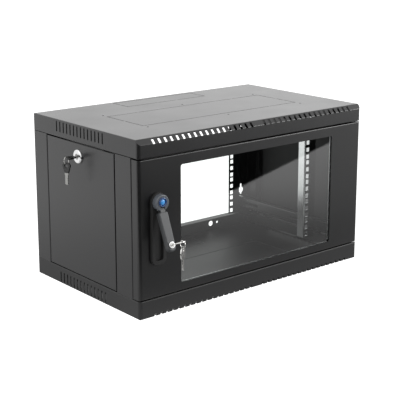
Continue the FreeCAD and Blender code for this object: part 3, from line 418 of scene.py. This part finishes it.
class CabinetRails(bpy.types.Operator):
    """Bright zinc plate on the front rack rails and the fasteners, powder coat on the rear rails"""
    bl_idname = "cabinet.rails"
    bl_label = "Rack rails"

    def execute(self, context):
        paint(plated_metal("bright_zinc_plate_on_rails", finishes().zinc, RAIL_ZINC), *FRONT_RAILS)
        coat = powder_coat("powder_coat_on_rear_rails", finishes().shell, REAR_RAIL_ROUGH)
        paint(coat, *REAR_RAILS)
        for name in REAR_RAILS:
            self.open_rail(name, coat)
        paint(plated_metal("zinc_plate_on_fasteners", finishes().zinc, FITTING_ZINC), "rail_bolts",
              "rail_nuts", "cover_screws", "hinge_washer")
        return {"FINISHED"}

    def open_rail(self, name, coat):
        """Rear rail as an angle: the solid's own rail without the lip behind its inner edge."""
        low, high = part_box(name)
        mesh = NODES[name].data.copy()
        work = bmesh.new()
        work.from_mesh(mesh)
        bmesh.ops.remove_doubles(work, verts=work.verts, dist=WELD)
        sheet = fittings().rail_sheet
        inward = 1 if high.x < 0 else -1
        inner = high.x if inward > 0 else low.x
        cuts = (((0, low.y + sheet, 0), (0, 1, 0)), ((inner - inward * 2 * sheet, 0, 0), (inward, 0, 0)))
        for place, normal in cuts:
            whole = work.verts[:] + work.edges[:] + work.faces[:]
            bmesh.ops.bisect_plane(work, geom=whole, dist=TOUCH, plane_co=place, plane_no=normal)
        lip = [face for face in work.faces if face.calc_center_median().y > low.y + sheet + CLEAR
               and (face.calc_center_median().x - inner) * inward > -2 * sheet]
        bmesh.ops.delete(work, geom=lip, context="FACES")
        bmesh.ops.holes_fill(work, edges=[edge for edge in work.edges if edge.is_boundary])
        bmesh.ops.recalc_face_normals(work, faces=work.faces)
        work.to_mesh(mesh)
        work.free()
        mesh.shade_flat()
        mesh.materials.clear()
        mesh.materials.append(coat)
        rail = bpy.data.objects.new("open_" + name, mesh)
        bpy.context.scene.collection.objects.link(rail)
        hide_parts(name)
        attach(rail, "cabinet")


class CabinetDoor(bpy.types.Operator):
    """Door tray, pane, seal and clamps"""
    bl_idname = "cabinet.door"
    bl_label = "Glazed door"

    def execute(self, context):
        # Painted shade: the door's coat is a darker copy of the shell's black.
        paint(powder_coat("powder_coat_on_door_with_painted_shade", finishes().door, DOOR_ROUGH), "door_frame")
        paint(float_glass("tempered_float_glass", finishes().glass), "door_glass")
        paint(moulded_plastic("closed_cell_foam", finishes().foam, FOAM_ROUGH, COARSE_GRAIN), "glass_seal")
        paint(plated_metal("zinc_plate_on_door_fittings", finishes().zinc, FITTING_ZINC), "glass_clamps",
              "clamp_nuts", "hinge_bracket", "hinge_pin_upper", "hinge_pin_lower")
        self.coil_spring(plated_metal("oiled_spring_steel", finishes().steel, WORN_STEEL))
        return {"FINISHED"}

    def coil_spring(self, made):
        """Compression spring on the hinge pin, drawn at one length; the real one shortens as the pin is
        pulled down.
        Point = axis + radius * (cos t, sin t) with a height that grows with the angle t."""
        low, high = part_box("hinge_spring")
        sizes = fittings()
        wire = sizes.spring_wire / 2
        middle = (low + high) / 2
        radius = (high.x - low.x) / 2 - wire
        turns = sizes.spring_turns
        steps_a_turn = 24
        t = np.linspace(0, 2 * math.pi * turns, steps_a_turn * turns + 1)
        out = np.stack([np.cos(t), np.sin(t), np.zeros_like(t)], 1)
        rise = low.z + wire + (high.z - low.z - 2 * wire) * t / t[-1]
        path = np.array([middle.x, middle.y, 0.0]) + radius * out + rise[:, None] * np.array(UP)
        a = around(12)
        section = wire * np.stack([np.cos(a), np.sin(a)], 1)
        spring = swept_piece("coil_spring", path, out, np.tile(UP, (len(t), 1)), section)
        spring.data.materials.append(made)
        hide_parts("hinge_spring")
        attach(spring, "door")
        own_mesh(spring)


class CabinetHandle(bpy.types.Operator):
    """Swing handle: base, turning head, lever, lock and the blind cap"""
    bl_idname = "cabinet.handle"
    bl_label = "Swing handle"

    def execute(self, context):
        colours = finishes()
        base = moulded_plastic("glass_filled_nylon", colours.nylon, HANDLE_BASE_ROUGH, FINE_GRAIN)
        paint(base, "handle_base")
        paint(moulded_plastic("painted_zinc_lever", colours.lever, LEVER_ROUGH, FINE_GRAIN), "handle_lever")
        head = moulded_plastic("painted_zinc_die_casting", colours.casting, HEAD_ROUGH, COARSE_GRAIN)
        paint(head, "handle_head")
        paint(plated_metal("zinc_plate_on_latch", colours.zinc, FITTING_ZINC), "handle_nut", "handle_screw",
              "lever_pin", "door_cam", "door_cam_screw")
        paint(plated_metal("chrome_plate_on_lever_lock", colours.chrome, LEVER_CHROME), "lever_lock_barrel")
        # Painted shade: the plug's darker grey is partly the keyway's shade and partly wear.
        paint(plated_metal("worn_and_shaded_nickel_on_lever_plug", colours.steel, WORN_STEEL), "lever_lock_plug")
        self.blind_cap(colours)
        return {"FINISHED"}

    def blind_cap(self, colours):
        """Cap: a dark rim and, in its hollow, a bright button with a shallow dome."""
        low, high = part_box("handle_cap")
        centre = (low + high) / 2
        radius = (high.x - low.x) / 2
        depth = high.y - low.y
        turn = np.linspace(0, math.pi / 2, ARC_STEPS)
        rim = 0.3 * radius
        edge = rim / 2
        floor = 0.35 * depth
        outside = np.stack([radius - edge + edge * np.cos(turn), depth - edge + edge * np.sin(turn)], 1)
        inside = np.stack([radius - edge - edge * np.sin(turn), depth - edge + edge * np.cos(turn)], 1)
        hollow = [[radius - rim, floor], [0.0, floor]]
        profile = np.concatenate([[[0, 0], [radius, 0]], outside, inside, hollow])
        button = 0.6 * radius
        foot, dome_rise = 0.3 * depth, 0.6 * depth
        across = turn[::-1]
        dome = np.stack([button * np.sin(across), foot + dome_rise * np.cos(across)], 1)
        steps = fittings().round_steps
        place = (centre.x, high.y, centre.z)
        for name, line, colour, coat in (("cap_rim", profile, colours.cap_rim, 0.5),
                                         ("cap_button", dome, colours.cap, 0.8)):
            made = turned_piece(name, line, place, (0, -1, 0), steps)
            gloss = moulded_plastic("gloss_abs_" + name, colour, CAP_ROUGH, CAP_GRAIN, coat)
            made.data.materials.append(gloss)
            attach(made, "handle")
            if name == "cap_rim":
                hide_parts("handle_cap")


class CabinetLocks(bpy.types.Operator):
    """Side locks: chrome faces and plugs, zinc nuts and cams"""
    bl_idname = "cabinet.locks"
    bl_label = "Side locks"

    def execute(self, context):
        colours = finishes()
        bright = plated_metal("chrome_plate_on_side_locks", colours.chrome, LOCK_CHROME)
        # Painted shade: the plugs' darker grey is partly the keyway's shade and partly wear.
        worn = plated_metal("worn_and_shaded_nickel_on_side_plugs", colours.steel, WORN_STEEL)
        dull = plated_metal("zinc_plate_on_lock_fittings", colours.zinc, FITTING_ZINC)
        for side in ("left", "right"):
            paint(bright, "side_lock_body_" + side)
            paint(worn, "side_lock_plug_" + side)
            paint(dull, "side_lock_nut_" + side, "side_lock_cam_" + side, "side_cam_screw_" + side)
        return {"FINISHED"}


class CabinetKeys(bpy.types.Operator):
    """Keys and their split rings"""
    bl_idname = "cabinet.keys"
    bl_label = "Keys and rings"

    def execute(self, context):
        colours = finishes()
        nickel = plated_metal("nickel_plate_on_keys", colours.nickel, KEY_NICKEL)
        paint(nickel, "handle_key", "handle_spare_key")
        paint(plated_metal("worn_steel_on_side_keys", colours.steel, WORN_STEEL), "side_key_blade",
              "side_spare_key_blade")
        for name, body in (("side_key_ring", "side_ring"), ("handle_key_ring", "handle_ring")):
            self.split_ring(name, body, nickel)
        paint(moulded_plastic("moulded_key_head", colours.nylon, KEY_HEAD_ROUGH, FINE_GRAIN), "side_key_head",
              "side_spare_key_head")
        return {"FINISHED"}

    def split_ring(self, name, body, made):
        """Split ring: flat wire wound nearly twice round, which steps over where its ends leave room.
        Point = centre + radius * (cos t * side + sin t * up) + axis * step, where step goes smoothly from
        one side to the other between the second turn's end and the first turn's start."""
        points = np.array([vertex.co for vertex in NODES[name].data.vertices])
        centre = (points.max(axis=0) + points.min(axis=0)) / 2
        axis, side, up = axes_of(np.linalg.svd(points - centre, full_matrices=False)[2][2])
        reach = points - centre
        thick = np.abs(reach @ axis).max()
        radius = np.hypot(reach @ side, reach @ up).max() - thick
        turns = fittings().ring_turns
        steps_a_turn = 64
        t = np.linspace(0, 2 * math.pi * turns, int(steps_a_turn * turns))
        out = np.cos(t)[:, None] * side + np.sin(t)[:, None] * up
        wire = thick / 2
        cross = np.clip((t / (2 * math.pi) - (turns - 1)) / (2 - turns), 0, 1)
        path = centre + radius * out + axis * (wire * (2 * cross ** 2 * (3 - 2 * cross) - 1))[:, None]
        a = around(16)
        squared = [np.sign(f(a)) * np.abs(f(a)) ** 0.5 for f in (np.cos, np.sin)]
        section = np.stack([0.9 * thick * squared[0], 0.94 * wire * squared[1]], 1)
        ring = swept_piece(name.replace("key", "split"), path, out, np.tile(axis, (len(t), 1)), section)
        ring.data.materials.append(made)
        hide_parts(name)
        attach(ring, body)


# Soft lights: name, place, aim, edge in metres and power in watts.
SOFTBOXES = (("key_softbox", (1.65, -1.53, 1.08), (0.15, -0.18, 0.33), 0.9, 25),
             ("fill_softbox", (-1.7, 0.3, 1.3), (0.0, 0.0, 0.2), 1.2, 10))
# Brightness of the floor and of the paper on it. Two pairs are a span in metres and the factors at its ends.
FLOOR_GLOW = 1.4
SLANT = 0.4                               # how far the paper's front edge leans: Y gained for each X
CUT = ((-0.61, -0.59), (0.01, 1.0))       # dark in front of the slanting edge, lit behind it
NEAR_CUT = ((-0.6, -0.2), (1.9, 1.0))     # brighter towards that edge, darker towards the cabinet: painted shade
ACROSS = ((-0.3, 0.5), (0.27, 0.54))      # painted shadow of the cabinet in front of it, deeper to its left than to its right
SHADOW_END = (-0.35, -0.15)                   # where that painted shadow ends, towards the wall
SHADOW_FALLOFF = ((0.3, 1.1), (0.75, 1.25))      # painted shade close round the cabinet, brighter further out
APRON = ((-1.43, -1.47), (0.0, 0.9))      # lit again far in front, for the upright fronts
APRON_ACROSS = ((0.5, 1.7), (0.45, 1.4))  # brighter to the right
PAPER_HALF = 20                           # from the middle to the edge
# Brightness of the studio's walls.
WALL_AIM = (-0.05, 0.96, -0.25)           # way to the backdrop
WALL_SPAN = (-0.35, 0.25)                 # how far a view turns that way, from front to backdrop
WALL_LEAN = ((0.45, 0.7), (1.0, 1.25))    # brighter to the right


class CabinetStage(bpy.types.Operator):
    """Floor, soft light and camera"""
    bl_idname = "cabinet.stage"
    bl_label = "Floor, light and camera"

    def execute(self, context):
        studio = context.scene.cabinet_studio
        context.scene.view_settings.view_transform = "Standard"
        self.floor()
        self.world(context, studio)
        for row in SOFTBOXES:
            self.softbox(*row)
        self.camera(context, studio)
        return {"FINISHED"}

    def floor(self):
        """Pale floor, and just over it a glowing sheet that stands for lit paper, which only the cabinet's
        gloss and its light see.
        Its brightness is (cut + apron) * shade * front * fall, with the spans that stand above; shade, front
        and fall are the cabinet's painted shadow."""
        plain, tree = material("pale_floor")
        finish_surface(tree, add(tree, "ShaderNodeEmission", None, {"Color": WHITE, "Strength": FLOOR_GLOW}))
        self.sheet("floor", -0.5 * MM, plain).visible_glossy = False
        paper, tree = material("glowing_paper_with_painted_shadow")
        place = add(tree, "ShaderNodeTexCoord").outputs["Object"]
        x, y, _ = add(tree, "ShaderNodeSeparateXYZ", None, {0: place}).outputs
        slope = arithmetic(tree, "MULTIPLY_ADD", x, SLANT, y)
        cut = ramp(tree, slope, *CUT, smooth=True)
        # front, shade and fall paint the cabinet's shadow into the paper's glow, darkest in front of and
        # close to the cabinet
        front = ramp(tree, slope, *NEAR_CUT)
        shade = ramp(tree, y, SHADOW_END, (ramp(tree, x, *ACROSS), 1.0))
        reach = add(tree, "ShaderNodeVectorMath", {"operation": "LENGTH"}, {0: place}).outputs["Value"]
        fall = ramp(tree, reach, *SHADOW_FALLOFF, smooth=True)
        strip = ramp(tree, y, *APRON, smooth=True)
        apron = arithmetic(tree, "MULTIPLY", strip, ramp(tree, x, *APRON_ACROSS))
        dim = arithmetic(tree, "MULTIPLY", arithmetic(tree, "ADD", cut, apron), shade)
        glow = arithmetic(tree, "MULTIPLY", dim, arithmetic(tree, "MULTIPLY", front, fall))
        finish_surface(tree, add(tree, "ShaderNodeEmission", None, {"Color": WHITE, "Strength": glow}))
        self.sheet("glowing_paper_with_painted_shadow", -0.4 * MM, paper).visible_camera = False

    def sheet(self, name, height, made):
        """A wide level sheet that shows from above."""
        line = np.linspace(-PAPER_HALF, PAPER_HALF, 5)
        u, v = np.meshgrid(line, line)
        laid = surface(name, np.stack([u, v, np.full_like(u, height)], axis=-1))
        if laid.data.polygons[0].normal.z < 0:
            laid.data.flip_normals()
        laid.data.materials.append(made)
        return laid

    def world(self, context, studio):
        """Pale studio all round: brightest behind the cabinet, dimmer in front, brighter far to the right."""
        world = bpy.data.worlds.new("soft_studio")
        context.scene.world = world
        world.use_nodes = True
        tree = world.node_tree
        tree.nodes.clear()
        way = add(tree, "ShaderNodeTexCoord").outputs["Generated"]
        facing = add(tree, "ShaderNodeVectorMath", {"operation": "DOT_PRODUCT"}, {0: way, 1: WALL_AIM})
        wall = ramp(tree, facing.outputs["Value"], WALL_SPAN, (studio.front, studio.backdrop), smooth=True)
        x = add(tree, "ShaderNodeSeparateXYZ", None, {0: way}).outputs["X"]
        glow = arithmetic(tree, "MULTIPLY", wall, ramp(tree, x, *WALL_LEAN))
        back = add(tree, "ShaderNodeBackground", None, {"Color": WHITE, "Strength": glow})
        add(tree, "ShaderNodeOutputWorld", None, {"Surface": back.outputs[0]})

    def softbox(self, name, place, aim, size, power):
        """A square lamp that faces a point."""
        lamp = bpy.data.lights.new(name, "AREA")
        lamp.shape = "SQUARE"
        lamp.size = size
        lamp.energy = power
        made = bpy.data.objects.new(name, lamp)
        made.location = place
        made.rotation_euler = (Vector(aim) - Vector(place)).to_track_quat("-Z", "Y").to_euler()
        bpy.context.scene.collection.objects.link(made)

    def camera(self, context, studio):
        """Camera on a circle round the body's middle, stepped sideways and up in its own frame."""
        low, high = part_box("bottom_cover")
        middle = (low + Vector((high.x, high.y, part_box("top_cover")[1].z))) / 2
        a, e = studio.azimuth, studio.elevation
        back = Vector((math.sin(a) * math.cos(e), -math.cos(a) * math.cos(e), math.sin(e)))
        turn = (-back).to_track_quat("-Z", "Y")
        data = bpy.data.cameras.new("camera")
        data.sensor_width = 36.0
        data.lens = studio.view * data.sensor_width
        data.shift_y = studio.shift
        data.clip_end = 100
        made = bpy.data.objects.new("camera", data)
        made.rotation_mode = "QUATERNION"
        made.rotation_quaternion = turn
        made.location = middle + back * studio.distance + turn @ Vector((studio.slide, studio.lift, 0))
        context.scene.collection.objects.link(made)
        context.scene.camera = made


STEPS = (CabinetShell, CabinetSidePanels, CabinetRails, CabinetDoor, CabinetHandle, CabinetLocks, CabinetKeys,
         CabinetStage)


class CabinetPanel(bpy.types.Panel):
    """The cabinet's sizes, colours and steps"""
    bl_idname = "VIEW3D_PT_cabinet"
    bl_label = "Wall cabinet"
    bl_space_type = "VIEW_3D"
    bl_region_type = "UI"
    bl_category = "Cabinet"

    def draw(self, context):
        scene = context.scene
        for group in (scene.cabinet_finishes, scene.cabinet_fittings, scene.cabinet_studio):
            box = self.layout.box()
            for key in group.__annotations__:
                box.prop(group, key)
        for step in STEPS:
            self.layout.operator(step.bl_idname)


GROUPS = (CabinetFinishes, CabinetFittings, CabinetStudio)


def register():
    for made in (*GROUPS, *STEPS, CabinetPanel):
        bpy.utils.register_class(made)
    bpy.types.Scene.cabinet_finishes = PointerProperty(type=CabinetFinishes)
    bpy.types.Scene.cabinet_fittings = PointerProperty(type=CabinetFittings)
    bpy.types.Scene.cabinet_studio = PointerProperty(type=CabinetStudio)


def unregister():
    del bpy.types.Scene.cabinet_studio
    del bpy.types.Scene.cabinet_fittings
    del bpy.types.Scene.cabinet_finishes
    for made in reversed((*GROUPS, *STEPS, CabinetPanel)):
        bpy.utils.unregister_class(made)


def main():
    register()
    bpy.ops.cabinet.shell()
    bpy.ops.cabinet.side_panels()
    bpy.ops.cabinet.rails()
    bpy.ops.cabinet.door()
    bpy.ops.cabinet.handle()
    bpy.ops.cabinet.locks()
    bpy.ops.cabinet.keys()
    bpy.ops.cabinet.stage()


if __name__ == "__main__":
    main()
